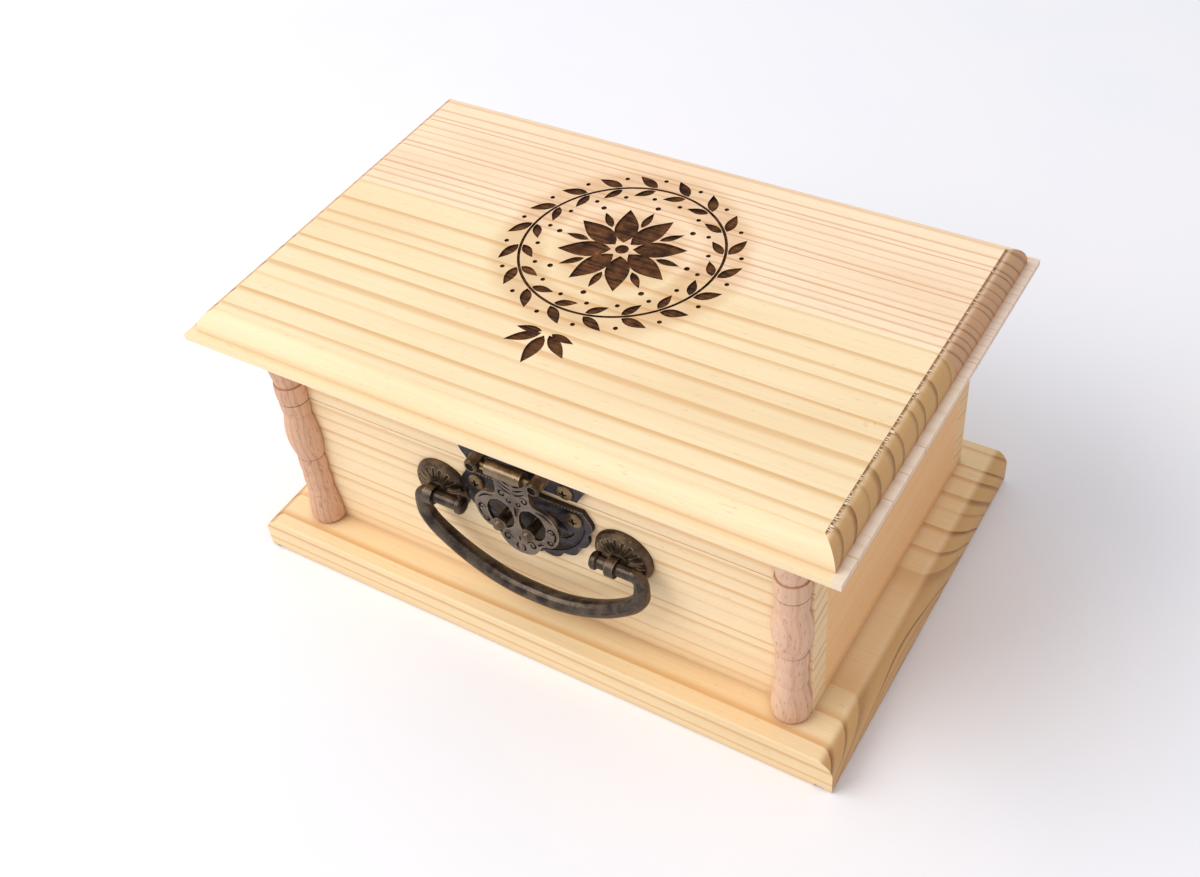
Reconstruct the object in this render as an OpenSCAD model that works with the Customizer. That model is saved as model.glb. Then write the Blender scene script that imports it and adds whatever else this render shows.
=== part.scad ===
// Keepsake box: a pine box on a rounded base board, with a deep lid that was sawn off the closed box,
// two turned columns that the saw cut runs through, a hasp latch, a hanging bail handle and two rear hinges.
// Millimetres. X runs left to right, Y front to back, Z up. The origin is under the centre of the base board.

/* [Base board] */
// Length of the base board, left to right
base_w = 210; // [206:1:240]
// Depth of the base board, front to back
base_d = 138; // [136:1:160]
// Thickness of the base board
base_t = 13.5; // [9:0.5:20]
// Radius on the upper edge of each end of the base board
base_end_r = 5.6; // [1:0.2:8]
// Radius on the lower edge of each end of the base board
base_foot_r = 1.2; // [0.4:0.2:2]
// Small bevel on the long edges of the base board
base_bevel = 0.5; // [0.2:0.1:1.5]

/* [Box] */
// Length of the box, outside
box_w = 184; // [178:1:196]
// Depth of the box, outside
box_d = 114; // [104:1:116]
// Distance from the front of the base board to the front of the box
box_setback = 14.2; // [12:0.2:18]
// Thickness of the boards of the box and of the lid's rim
wall = 8; // [7:0.5:10]
// Height of the box from the base board to the saw cut
box_h = 53.5; // [50:0.5:70]

/* [Lid] */
// Width of the saw cut between the box and the lid
saw_cut = 0.3; // [0.2:0.1:0.8]
// Height of the lid's rim from the saw cut to the lid board
rim_h = 28.5; // [27:0.5:40]
// Thickness of the lid board
lid_t = 9.5; // [8.5:0.5:14]
// How far the lid board stands out past the front of the box
lid_front_over = 17.6; // [14:0.2:20]
// How far the lid board stands out past the back of the box
lid_back_over = 6.2; // [3:0.2:8]
// How far the lid board stands out past each side of the box
lid_side_over = 14.5; // [9:0.5:18]
// Height of the upright edge of the lid board
lid_edge_h = 2.1; // [1:0.1:3]
// Width of the flat ledge inside that edge
lid_ledge_w = 2.9; // [1:0.1:5]
// Radius of the quarter round above the ledge
lid_round_r = 5.2; // [3:0.1:5.4]

/* [Columns] */
// Distance from the side of the box to the axis of a column
column_inset = 5.9; // [5.5:0.1:12]
// How far the axis of a column stands in front of the box
column_proud = 1.5; // [0.5:0.1:3]
// Largest radius of the bell at the foot and at the head
column_bell_r = 6.1; // [5.5:0.1:7]
// Largest radius of the vase
column_vase_r = 6; // [5.2:0.1:7]
// Radius at the narrow ends of the bells and of the vase
column_waist_r = 4.5; // [3.5:0.1:4.9]
// Radius of the rings and collars
column_ring_r = 4.95; // [4.5:0.1:5.4]
// Height of the bell
column_bell_h = 15.3; // [11:0.1:16]
// Height of each of the two rings above the lower bell
column_ring_h = 6.8; // [5:0.1:8]
// Height of the collar below the saw cut
column_collar_h = 5; // [3:0.1:7]
// Height of the collar above the saw cut
column_cap_collar_h = 6.7; // [4:0.1:8]

/* [Latch plates] */
// Distance of the middle of the latch from the middle of the box
latch_x = 0; // [-0.4:0.1:0.6]
// Thickness of the two latch plates
plate_t = 1.6; // [1.2:0.1:1.8]
// Half of the width of the catch plate
catch_half_w = 23; // [22.4:0.1:23]
// Height of the catch plate
catch_h = 26.4; // [25:0.1:27]
// Distance from the saw cut to the straight edge of the catch plate
catch_drop = 1.9; // [1:0.1:3]
// Distance from the middle of the catch plate to its screws
catch_screw_x = 17.2; // [16.6:0.1:17.6]
// Distance from the straight edge of the catch plate to its screws
catch_screw_z = 4.2; // [3.6:0.1:5]
// Half of the width of the hasp plate
hasp_half_w = 21.6; // [20.6:0.1:22.4]
// Height of the hasp plate
hasp_h = 25; // [23:0.1:25.6]
// Distance from the saw cut to the straight edge of the hasp plate
hasp_rise = 1.5; // [1:0.1:2]
// Distance from the middle of the hasp plate to its screws
hasp_screw_x = 15.1; // [14.9:0.1:16]
// Distance from the straight edge of the hasp plate to its screws
hasp_screw_z = 2.9; // [2.9:0.1:4]
// Number of scallops round a latch plate
scallops = 9; // [7:2:13]
// How far the scallops stand out from the notches between them
scallop_depth = 1.5; // [0.8:0.1:1.6]
// Height of the straight shoulder above a plate's scallops
plate_shoulder = 4.4; // [4:0.1:5]
// Angle that the scalloped border turns past the shoulder
shoulder_turn = 6.5; // [5:0.5:7]

/* [Hasp] */
// Distance from the front of the box to the axis of the hasp
hasp_stand = 8; // [7.8:0.1:8.6]
// Distance from the straight edge of the hasp plate to the axis of the hasp
hasp_axis_rise = 9.5; // [9:0.1:10]
// Distance from the middle of the hasp plate to each ear
ear_x = 10.5; // [9.6:0.1:12]
// Radius of an ear
ear_r = 2.3; // [2:0.1:2.5]
// How far an ear reaches past the axis of the hasp
ear_past = 2.6; // [2:0.1:4]
// Radius of the hasp pin
hasp_pin_r = 1; // [0.8:0.05:1.2]
// Outer radius of the hasp's barrel
barrel_r = 2.35; // [2:0.05:2.5]
// Half of the length of the hasp's barrel
barrel_half = 6; // [5.6:0.1:6.6]
// Thickness of the hasp leaf
leaf_t = 1.2; // [0.8:0.05:1.25]
// Length of the hasp leaf below its axis
leaf_len = 35.3; // [34:0.1:35.6]
// Half of the width of the leaf at its lobes
leaf_half_w = 14.7; // [14:0.1:15]
// Half of the width of the leaf's neck
neck_half = 5.8; // [5:0.1:6]
// Half of the width of each of the two holes in the leaf
leaf_hole_half_w = 4.6; // [4.4:0.1:4.8]
// Half of the height of each hole
leaf_hole_half_h = 6.2; // [6:0.1:6.4]
// Distance from the middle of the leaf to each hole
leaf_hole_x = 5.6; // [5.5:0.1:5.8]
// Distance from the hasp axis down to the holes
leaf_hole_drop = 20.6; // [20.4:0.1:21]

/* [Catch posts] */
// Distance from the middle of the latch to each catch post
post_x = 5; // [4.9:0.1:5.4]
// Distance from the centre of the leaf's holes down to the catch posts
post_drop = 2.3; // [2:0.1:2.5]
// Radius of a catch post
post_r = 1.7; // [1.4:0.1:1.8]
// Radius of the collar on a catch post
post_collar_r = 2.3; // [1.9:0.1:2.4]
// Length of that collar
post_collar_h = 1.1; // [0.8:0.1:1.5]
// Radius of the tip of a catch post
post_tip_r = 1.45; // [0.8:0.05:1.6]
// Length of the tip of a catch post
post_tip_h = 1.5; // [0.8:0.1:2]
// How far a catch post stands out from its plate
post_len = 9; // [8:0.1:9.4]

/* [Bail handle] */
// Distance of the middle of the handle from the middle of the box
handle_x = 0.3; // [0.2:0.1:0.6]
// Height of the rosettes above the base board
handle_rise = 38.7; // [37:0.1:40]
// How far the eyes stand above the middle of the rosettes
eye_rise = 1.2; // [0:0.1:1.4]
// Distance between the two handle posts
handle_span = 64; // [64:0.1:65]
// Distance from the front of the box to the handle's axis
handle_stand = 6.6; // [6.6:0.1:8]
// Radius of a rosette
rosette_r = 9.7; // [8.8:0.1:9.7]
// Height of a rosette's dome
rosette_h = 3.1; // [2.4:0.1:3.2]
// Thickness of a rosette
rosette_t = 0.9; // [0.8:0.1:1.1]
// Number of flutes in a rosette
flutes = 18; // [12:1:20]
// Radius of a handle post
handle_post_r = 2; // [1.8:0.1:2.4]
// Outer radius of the eye of a handle post
eye_r = 3.2; // [3:0.1:3.3]
// Width of the eye of a handle post
eye_w = 2.8; // [2.4:0.1:2.9]
// Radius of the bail where it turns in the eyes
bail_end_r = 2.1; // [1.9:0.05:2.15]
// Radius of the bail at its middle
bail_mid_r = 3.05; // [2.6:0.05:3.1]
// How far the middle of the rod stands out past the handle posts when the bail is centred
bail_past = 6.6; // [6.6:0.1:7.4]
// How far the bail hangs below its axis
bail_drop = 28; // [26:0.1:30]
// How far the bail has slid sideways in its eyes
bail_slide = 2.5; // [0:0.1:2.5]
// Radius of the knobs on the bail's ends
knob_r = 2.85; // [2.6:0.05:2.9]
// Length of the knobs
knob_w = 2.4; // [2.2:0.1:3]
// Distance from the middle of the bail to the inner end of each knob
knob_in = 22.3; // [20.5:0.1:22.6]

/* [Rear hinges] */
// Distance from the middle of the box to each hinge
hinge_x = 58; // [40:1:68]
// Width of a hinge
hinge_w = 22; // [20:0.5:26]
// Distance from the hinge axis to the end of a leaf
hinge_leaf_h = 10; // [9:0.5:14]
// Thickness of a hinge leaf
hinge_leaf_t = 0.9; // [0.7:0.05:1]
// Outer radius of a hinge knuckle
knuckle_r = 1.8; // [1.6:0.1:2.2]
// Radius of a hinge pin
hinge_pin_r = 0.9; // [0.7:0.05:1]
// Distance from the middle of a hinge to its screws
hinge_screw_x = 6.8; // [5:0.1:8]

/* [Fasteners] */
// Radius of the head of a latch screw
latch_screw_head_r = 2.8; // [2.4:0.1:2.8]
// Radius of the shank of a latch screw
latch_screw_r = 1.1; // [0.9:0.05:1.3]
// Length of a latch screw under its head
latch_screw_len = 8; // [6:0.5:8.5]
// Radius of the head of a hinge screw
hinge_screw_head_r = 1.9; // [1.6:0.1:2.2]
// Radius of the shank of a hinge screw
hinge_screw_r = 0.9; // [0.7:0.05:1]
// Length of a hinge screw under its head
hinge_screw_len = 6; // [4:0.5:7]
// Radius of the head of a handle screw
handle_screw_head_r = 3.2; // [3:0.1:3.8]
// Radius of the shank of a handle screw
handle_screw_r = 1.4; // [1.2:0.05:1.5]

/* [Fits] */
// Radial clearance of a pin or rod that turns
running_fit = 0.06; // [0.03:0.01:0.1]
// Radial clearance of a pin or screw that stays put
fixed_fit = 0.03; // [0.01:0.01:0.05]

/* [Hidden] */
$fn = 48;
eps = 0.01;
curve_steps = 7;

box_y0 = -base_d / 2 + box_setback;
box_y1 = box_y0 + box_d;
seam_z = base_t + box_h;
rim_z = seam_z + saw_cut;
lid_z = rim_z + rim_h;
lid_w = box_w + 2 * lid_side_over;
lid_d = box_d + lid_front_over + lid_back_over;
lid_y0 = box_y0 - lid_front_over;
lid_round = min(lid_round_r, lid_t - lid_edge_h - 1);

column_x = box_w / 2 - column_inset;
column_y = box_y0 - column_proud;
vase_h = box_h - column_bell_h - 2 * column_ring_h - column_collar_h;

plate_face_y = box_y0 - plate_t;
catch_top_z = seam_z - catch_drop;
hasp_low_z = rim_z + hasp_rise;
hasp_y = box_y0 - hasp_stand;
hasp_z = hasp_low_z + hasp_axis_rise;
catch_post_z = hasp_z - leaf_hole_drop - post_drop;

handle_z = base_t + handle_rise;
bail_z = handle_z + eye_rise;
handle_y = box_y0 - handle_stand;
bail_x = handle_x + bail_slide;
bail_bend = 2.6;
bail_half_w = handle_span / 2 + bail_past;
handle_tail = wall / 2;
handle_tail_r = handle_post_r + 0.4;

hinge_off = knuckle_r + 0.1;
hinge_y = box_y1 + hinge_off;
hinge_z = seam_z + saw_cut / 2;
knuckle_gap = 0.15;
knuckle_len = (hinge_w - 2 * knuckle_gap) / 3;
leaf_relief = knuckle_r + 0.2;
hinge_screw_z = (leaf_relief + hinge_leaf_h) / 2;

pine = [0.94, 0.80, 0.57];
beech = [0.76, 0.56, 0.44];
bronze = [0.27, 0.23, 0.20];
old_brass = [0.52, 0.44, 0.30];

// A point on a smooth curve through four points, at t from the second to the third
function curve_point(a, b, c, d, t) =
    0.5 * (2 * b + (c - a) * t + (2 * a - 5 * b + 4 * c - d) * t * t + (3 * b - a - 3 * c + d) * t * t * t);

// The smooth curve through a list of points
function curve(p) = let (n = len(p)) concat(
    [for (i = [0 : n - 2], s = [0 : curve_steps - 1])
        curve_point(p[max(i - 1, 0)], p[i], p[i + 1], p[min(i + 2, n - 1)], s / curve_steps)],
    [p[n - 1]]);

// The same points with x turned over, last first
function mirrored(p) = [for (i = [len(p) - 1 : -1 : 0]) [-p[i][0], p[i][1]]];

// One turned swelling between two heights, as radius and height
function swelling(z0, z1, r0, r1, rise) =
    [for (i = [0 : curve_steps]) let (t = i / curve_steps)
        [r0 + (r1 - r0) * t + rise * sin(180 * t), z0 + (z1 - z0) * t]];

// A bell that opens from the waist at its top to its widest, and rounds in under it
function bell(h) = concat(
    [[column_bell_r - 0.9, 0]],
    [for (i = [1 : curve_steps]) let (a = 90 * i / curve_steps)
        [column_bell_r - 0.9 * (1 - sin(a)), 0.2 * h * (1 - cos(a))]],
    [for (i = [1 : curve_steps]) let (t = i / curve_steps)
        [column_waist_r + (column_bell_r - column_waist_r) * cos(90 * t), h * (0.2 + 0.8 * t)]]);

// A domed or flat screw head over a shank, with a cross recess. Its seat is at height 0 and the head is up.
module cross_screw(head_r, dome, sink, shank_r, shank_len, slot) {
    difference() {
        rotate_extrude() polygon(concat(
            [[0, -shank_len], [shank_r * 0.4, -shank_len], [shank_r, -shank_len + 1.6 * shank_r],
                [shank_r, -sink]],
            sink > 0 ? [[head_r, 0]] : [[head_r, 0], [head_r, 0.3]],
            [for (i = [1 : 5]) let (a = 90 * i / 5) [head_r * cos(a), (sink > 0 ? 0 : 0.3) + dome * sin(a)]]));
        for (turn = [0, 90])
            rotate([0, 0, turn])
                translate([-slot * 1.8, -slot / 2, dome - slot])
                    cube([slot * 3.6, slot, 2 * slot]);
    }
}

// Half of a board's edge section, seen from its end: x is the board's width and y its height
module lid_section(w) {
    round_w = w - 2 * lid_ledge_w;
    translate([-w / 2, 0]) square([w, lid_edge_h]);
    translate([-round_w / 2 + lid_round, 0]) square([round_w - 2 * lid_round, lid_t]);
    difference() {
        for (side = [-1, 1])
            translate([side * (round_w / 2 - lid_round), lid_edge_h]) circle(lid_round);
        translate([-w, -lid_t]) square([2 * w, lid_t + lid_edge_h - eps]);
    }
}

// The end section of the base board, with round upper and eased lower corners
module base_section() {
    up_r = min(base_end_r, base_t - base_foot_r - 1);
    translate([-base_w / 2 + up_r, 0]) square([base_w - 2 * up_r, base_t]);
    translate([-base_w / 2, base_foot_r]) square([base_w, base_t - up_r - base_foot_r]);
    for (side = [-1, 1]) {
        translate([side * (base_w / 2 - up_r), base_t - up_r]) circle(up_r);
        translate([side * (base_w / 2 - base_foot_r), base_foot_r]) circle(base_foot_r);
    }
}

// The long section of a board with bevelled upper and lower edges, from front to back
module bevelled(d, h, bevel) {
    polygon([[-d / 2 + bevel, 0], [d / 2 - bevel, 0], [d / 2, bevel], [d / 2, h - bevel],
        [d / 2 - bevel, h], [-d / 2 + bevel, h], [-d / 2, h - bevel], [-d / 2, bevel]]);
}

// Stands a drawing of width and height along X, from x0 for a length
module along_x(length) {
    translate([-length / 2, 0, 0]) rotate([90, 0, 90]) linear_extrude(length) children();
}

// Stands a drawing of width and height along Y, centred on y = 0
module along_y(length) {
    translate([0, length / 2, 0]) rotate([90, 0, 0]) linear_extrude(length) children();
}

module base_board() {
    color(pine) intersection() {
        along_y(base_d) base_section();
        along_x(base_w) bevelled(base_d, base_t, base_bevel);
    }
}

module long_board(y, z, h) {
    translate([-box_w / 2, y, z]) cube([box_w, wall, h]);
}

module end_board(side, z, h) {
    translate([side > 0 ? box_w / 2 - wall : -box_w / 2, box_y0 + wall, z])
        cube([wall, box_d - 2 * wall, h]);
}

// Pilot holes in a front board for the two screws of a latch plate
module latch_pilots(x, z) {
    for (side = [-1, 1])
        translate([latch_x + side * x, box_y0 - eps, z])
            rotate([-90, 0, 0]) cylinder(r = latch_screw_r + fixed_fit, h = latch_screw_len - plate_t + 0.2);
}

module hinge_pilots(up) {
    for (hinge = [-1, 1], side = [-1, 1])
        translate([hinge * hinge_x + side * hinge_screw_x, box_y1 + eps, hinge_z + up * hinge_screw_z])
            rotate([90, 0, 0]) cylinder(r = hinge_screw_r + fixed_fit, h = hinge_screw_len);
}

module front_panel() {
    color(pine) difference() {
        long_board(box_y0, base_t, box_h);
        latch_pilots(catch_screw_x, catch_top_z - catch_screw_z);
        for (side = [-1, 1])
            translate([handle_x + side * handle_span / 2, box_y0 - 1, handle_z])
                rotate([-90, 0, 0]) cylinder(r = handle_tail_r + fixed_fit, h = wall + 2);
    }
}

module back_panel() {
    color(pine) difference() {
        long_board(box_y1 - wall, base_t, box_h);
        hinge_pilots(-1);
    }
}

module left_panel() {
    color(pine) end_board(-1, base_t, box_h);
}

module right_panel() {
    color(pine) end_board(1, base_t, box_h);
}

module lid_front_rim() {
    color(pine) difference() {
        long_board(box_y0, rim_z, rim_h);
        latch_pilots(hasp_screw_x, hasp_low_z + hasp_screw_z);
    }
}

module lid_back_rim() {
    color(pine) difference() {
        long_board(box_y1 - wall, rim_z, rim_h);
        hinge_pilots(1);
    }
}

module lid_left_rim() {
    color(pine) end_board(-1, rim_z, rim_h);
}

module lid_right_rim() {
    color(pine) end_board(1, rim_z, rim_h);
}

module lid_board() {
    color(pine) translate([0, lid_y0 + lid_d / 2, lid_z]) intersection() {
        along_x(lid_w) lid_section(lid_d);
        along_y(lid_d) lid_section(lid_w);
    }
}

// A turned piece on a column's axis, planed flat where it is glued to the box
module split_turning(side, z, outline) {
    color(beech) difference() {
        translate([side * column_x, column_y, z])
            rotate_extrude() polygon(concat([[0, outline[0][1]]], outline, [[0, outline[len(outline) - 1][1]]]));
        translate([side * column_x - 2 * column_bell_r, box_y0, z - 1])
            cube([4 * column_bell_r, 2 * column_bell_r, box_h + rim_h]);
    }
}

module column(side) {
    ring_1 = column_bell_h;
    ring_2 = ring_1 + column_ring_h;
    vase = ring_2 + column_ring_h;
    collar = vase + vase_h;
    split_turning(side, base_t, concat(
        bell(column_bell_h),
        swelling(ring_1 + eps, ring_2, column_ring_r - 0.3, column_ring_r - 0.3, 0.3),
        swelling(ring_2 + 0.1, vase, column_ring_r - 0.35, column_ring_r - 0.2, 0.25),
        swelling(vase + 0.1, collar, column_waist_r, column_waist_r + 0.1, column_vase_r - column_waist_r),
        swelling(collar + eps, box_h, column_ring_r - 0.15, column_ring_r + 0.1, 0.15)));
}

// The head of the column: a collar over the saw cut, then the foot's bell turned over
module column_cap(side) {
    bell_h = rim_h - column_cap_collar_h;
    split_turning(side, rim_z, concat(
        swelling(0, column_cap_collar_h, column_ring_r + 0.1, column_ring_r + 0.15, 0.25),
        [for (p = mirrored(bell(bell_h))) [-p[0], rim_h - p[1]]]));
}

module left_column() {
    column(-1);
}

module right_column() {
    column(1);
}

module left_column_cap() {
    column_cap(-1);
}

module right_column_cap() {
    column_cap(1);
}

// The outline of a latch plate that hangs from its straight edge at y = 0: a shell with a scalloped border
function shell_outline(half_w, h) =
    let (steps = scallops * 8, a = half_w - scallop_depth, b = h - plate_shoulder - scallop_depth)
    concat(
        [[1.3 - a, 0]],
        [for (i = [0 : steps]) let (t = 180 - shoulder_turn + (180 + 2 * shoulder_turn) * i / steps,
            bump = scallop_depth * abs(sin(180 * scallops * i / steps)))
            [(a + bump) * cos(t), -plate_shoulder + (b + bump) * sin(t)]],
        [[a - 1.3, 0]]);

// A latch plate that lies on the front of the box, with its straight edge at height 0 and its shell up or down
module latch_plate(half_w, h, screw_x, screw_z, up) {
    difference() {
        rotate([90, 0, 0]) linear_extrude(plate_t)
            mirror([0, up > 0 ? 1 : 0]) polygon(shell_outline(half_w, h));
        for (side = [-1, 1])
            translate([side * screw_x, 0, up * screw_z])
                rotate([90, 0, 0]) translate([0, 0, -1])
                    cylinder(r = latch_screw_r + fixed_fit, h = plate_t + 2);
    }
}

module catch_post() {
    shaft = post_len - post_tip_h - post_collar_h;
    rotate([90, 0, 0]) rotate_extrude() polygon([
        [0, -plate_t / 2], [post_r, -plate_t / 2], [post_r, shaft], [post_collar_r, shaft + 0.2],
        [post_collar_r, shaft + post_collar_h - 0.2], [post_collar_r - 0.3, shaft + post_collar_h],
        [post_tip_r, shaft + post_collar_h], [post_tip_r, post_len - 0.3], [post_tip_r - 0.3, post_len],
        [0, post_len]]);
}

module catch_plate() {
    color(bronze) {
        translate([latch_x, box_y0, catch_top_z])
            latch_plate(catch_half_w, catch_h, catch_screw_x, catch_screw_z, -1);
        for (side = [-1, 1])
            translate([latch_x + side * post_x, plate_face_y, catch_post_z]) catch_post();
    }
}

module latch_screws(x, z) {
    color(old_brass)
        for (side = [-1, 1])
            translate([latch_x + side * x, plate_face_y, z])
                rotate([90, 0, 0])
                    cross_screw(latch_screw_head_r, 0.9, 0, latch_screw_r, latch_screw_len, 0.8);
}

module catch_screws() {
    latch_screws(catch_screw_x, catch_top_z - catch_screw_z);
}

module hasp_screws() {
    latch_screws(hasp_screw_x, hasp_low_z + hasp_screw_z);
}

// An ear of the hasp plate: a round boss with a hollow end, crossed by the hasp pin
module ear() {
    h = hasp_stand - plate_t + ear_past;
    rotate([90, 0, 0]) rotate_extrude() polygon([
        [0, -plate_t / 2], [ear_r, -plate_t / 2], [ear_r, h - 0.6], [ear_r - 0.5, h],
        [ear_r - 0.8, h], [ear_r - 1, h - 0.9], [0, h - 0.9]]);
}

module hasp_plate() {
    color(bronze) difference() {
        union() {
            translate([latch_x, box_y0, hasp_low_z])
                latch_plate(hasp_half_w, hasp_h, hasp_screw_x, hasp_screw_z, 1);
            for (side = [-1, 1])
                translate([latch_x + side * ear_x, plate_face_y, hasp_z]) ear();
        }
        translate([latch_x - ear_x - 2 * ear_r, hasp_y, hasp_z])
            rotate([0, 90, 0]) cylinder(r = hasp_pin_r + fixed_fit, h = 2 * ear_x + 4 * ear_r);
    }
}

module hasp_pin() {
    half = ear_x + ear_r - 0.2;
    color(old_brass) translate([latch_x - half, hasp_y, hasp_z])
        rotate([0, 90, 0]) cylinder(r = hasp_pin_r, h = 2 * half);
}

// Half of the leaf's outline below its axis: a neck, a broad lobe, a notch under it and a round chin
function leaf_half_outline() = let (w = leaf_half_w, n = neck_half, d = leaf_len) concat(
    [[barrel_half, 0]],
    curve([[barrel_half, -1.5], [n + 0.1, -5], [n, -9.5], [n + 0.4, -11.8], [n + 2, -12.8], [w - 4.5, -13.3],
        [w - 2.3, -14.8], [w - 0.6, -17.4], [w, -20.3], [w - 0.5, -23.2], [w - 1.8, -26], [w - 3.8, -27.7],
        [w - 5.9, -28.3], [7.3, 5.8 - d], [6.5, 3.9 - d], [5, 1.8 - d], [2.6, 0.4 - d], [0, -d]]));

// The outline of the leaf's right hole, an egg that leans towards the middle at its foot
function leaf_hole_outline() = let (w = leaf_hole_half_w, h = leaf_hole_half_h) curve([
    [-0.07 * w, h], [0.6 * w, 0.8 * h], [0.95 * w, 0.35 * h], [w, -0.05 * h], [0.8 * w, -0.6 * h],
    [0.2 * w, -h], [-0.6 * w, -0.8 * h], [-w, -0.35 * h], [-w, 0.25 * h], [-0.7 * w, 0.75 * h],
    [-0.07 * w, h]]);

module hasp_leaf() {
    half = leaf_half_outline();
    color(bronze) translate([latch_x, hasp_y, hasp_z]) difference() {
        union() {
            translate([0, barrel_r, 0]) rotate([90, 0, 0]) linear_extrude(leaf_t)
                polygon(concat(half, mirrored([for (i = [0 : len(half) - 2]) half[i]])));
            translate([-barrel_half, 0, 0]) rotate([0, 90, 0]) cylinder(r = barrel_r, h = 2 * barrel_half);
        }
        for (side = [-1, 1])
            translate([side * leaf_hole_x, barrel_r + eps, -leaf_hole_drop]) mirror([side < 0 ? 1 : 0, 0, 0])
                rotate([90, 0, 0]) linear_extrude(leaf_t + 2 * eps) polygon(leaf_hole_outline());
        translate([-barrel_half - 1, 0, 0])
            rotate([0, 90, 0]) cylinder(r = hasp_pin_r + running_fit, h = 2 * barrel_half + 2);
    }
}

// A domed, fluted rosette with a rolled rim, hollow behind, with its seat at height 0
module rosette() {
    rim = rosette_r;
    h = rosette_h;
    hole = handle_post_r + fixed_fit;
    flute_in = 3.7;
    flute_out = rim - 1.6;
    flute_fall = atan(0.2 * h / (flute_out - flute_in));
    dome = [[rim, 0], [rim, 0.2 * h], [rim - 0.4, 0.48 * h], [rim - 1.3, 0.72 * h], [rim - 2.7, 0.89 * h],
        [rim - 4.2, 0.97 * h], [rim - 5.7, h], [hole, h]];
    hollow = [[hole, 0], [hole + 1.2, 0], [hole + 1.2, h - rosette_t - 0.4], [rim - 4.2, 0.97 * h - rosette_t],
        [rim - 2.7, 0.85 * h - rosette_t], [rim - 1.5, 0.6 * h - rosette_t], [rim - 1.1, 0]];
    difference() {
        rotate_extrude() polygon(concat(dome, hollow));
        for (i = [0 : flutes - 1])
            rotate([0, 0, 360 * i / flutes])
                translate([flute_in, 0, h + 0.1])
                    rotate([0, 90 + flute_fall, 0]) cylinder(r1 = 0.25, r2 = 0.65, h = flute_out - flute_in);
    }
}

module rosette_at(side) {
    color(bronze) translate([handle_x + side * handle_span / 2, box_y0, handle_z])
        rotate([90, 0, 0]) rosette();
}

module left_rosette() {
    rosette_at(-1);
}

module right_rosette() {
    rosette_at(1);
}

// A handle post: a tail in the box's board, a shoulder on the rosette and an eye for the bail
module handle_post(side) {
    color(bronze) translate([handle_x + side * handle_span / 2, box_y0, handle_z]) difference() {
        union() {
            rotate([90, 0, 0]) rotate_extrude() polygon([
                [0, -handle_tail], [handle_tail_r, -handle_tail], [handle_tail_r, 0], [handle_post_r, 0],
                [handle_post_r, rosette_h + eps], [handle_post_r + 0.9, rosette_h + eps],
                [handle_post_r + 0.7, rosette_h + 0.5], [handle_post_r - 0.2, handle_stand - 1],
                [0, handle_stand - 1]]);
            translate([-eye_w / 2, -handle_stand, eye_rise])
                rotate([0, 90, 0]) cylinder(r = eye_r, h = eye_w);
        }
        translate([-eye_w, -handle_stand, eye_rise])
            rotate([0, 90, 0]) cylinder(r = bail_end_r + running_fit, h = 2 * eye_w);
        translate([0, handle_tail + 1, 0])
            rotate([90, 0, 0]) cylinder(r = handle_screw_r + fixed_fit, h = handle_tail + 3);
    }
}

module left_handle_post() {
    handle_post(-1);
}

module right_handle_post() {
    handle_post(1);
}

// The screws that draw the handle posts to the board, with their heads inside the box
module handle_screws() {
    color(old_brass)
        for (side = [-1, 1])
            translate([handle_x + side * handle_span / 2, box_y0 + wall, handle_z])
                rotate([-90, 0, 0])
                    cross_screw(handle_screw_head_r, 1.3, 0, handle_screw_r, wall + 1.5, 0.9);
}

// The bail's middle line, from its middle to the straight end that turns in the eye
function bail_half_line() = let (w = bail_half_w, d = bail_drop) concat(curve([
    [0, -d], [w * 0.2, -d * 0.985], [w * 0.42, -d * 0.91], [w * 0.67, -d * 0.75], [w * 0.885, -d * 0.53],
    [w - 0.7, -d * 0.35], [w, -d * 0.21], [w, -bail_bend]]),
    [for (a = [15 : 15 : 90]) [w - bail_bend * (1 - cos(a)), -bail_bend * (1 - sin(a))]]);

// A round rod along a line in the plane y = 0, with a radius for each point
module swept_rod(line, radii, sides = 16) {
    n = len(line);
    rings = [for (i = [0 : n - 1])
        let (d = line[min(i + 1, n - 1)] - line[max(i - 1, 0)], across = [-d[1], d[0]] / norm(d))
        for (k = [0 : sides - 1]) let (a = 360 * k / sides)
            [line[i][0] + radii[i] * cos(a) * across[0], radii[i] * sin(a),
                line[i][1] + radii[i] * cos(a) * across[1]]];
    walls = [for (i = [0 : n - 2], k = [0 : sides - 1])
        let (a = i * sides + k, b = i * sides + (k + 1) % sides)
        each [[a, b, a + sides], [b, b + sides, a + sides]]];
    ends = [[for (k = [sides - 1 : -1 : 0]) k], [for (k = [0 : sides - 1]) (n - 1) * sides + k]];
    polyhedron(rings, concat(walls, ends), convexity = 4);
}

module bail() {
    half = bail_half_line();
    last = len(half) - 1;
    line = concat(mirrored(half), [for (i = [1 : last]) half[i]]);
    radii = [for (i = [-last : last])
        bail_end_r - 0.05 + (bail_mid_r - bail_end_r + 0.05) * pow(cos(90 * abs(i) / last), 0.9)];
    stub = bail_half_w - bail_bend;
    color(bronze) translate([bail_x, handle_y, bail_z]) {
        swept_rod(line, radii);
        for (side = [-1, 1])
            translate([side > 0 ? knob_in + 0.8 : -stub - 0.2, 0, 0])
                rotate([0, 90, 0]) cylinder(r = bail_end_r, h = stub + 0.2 - knob_in - 0.8);
    }
}

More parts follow.
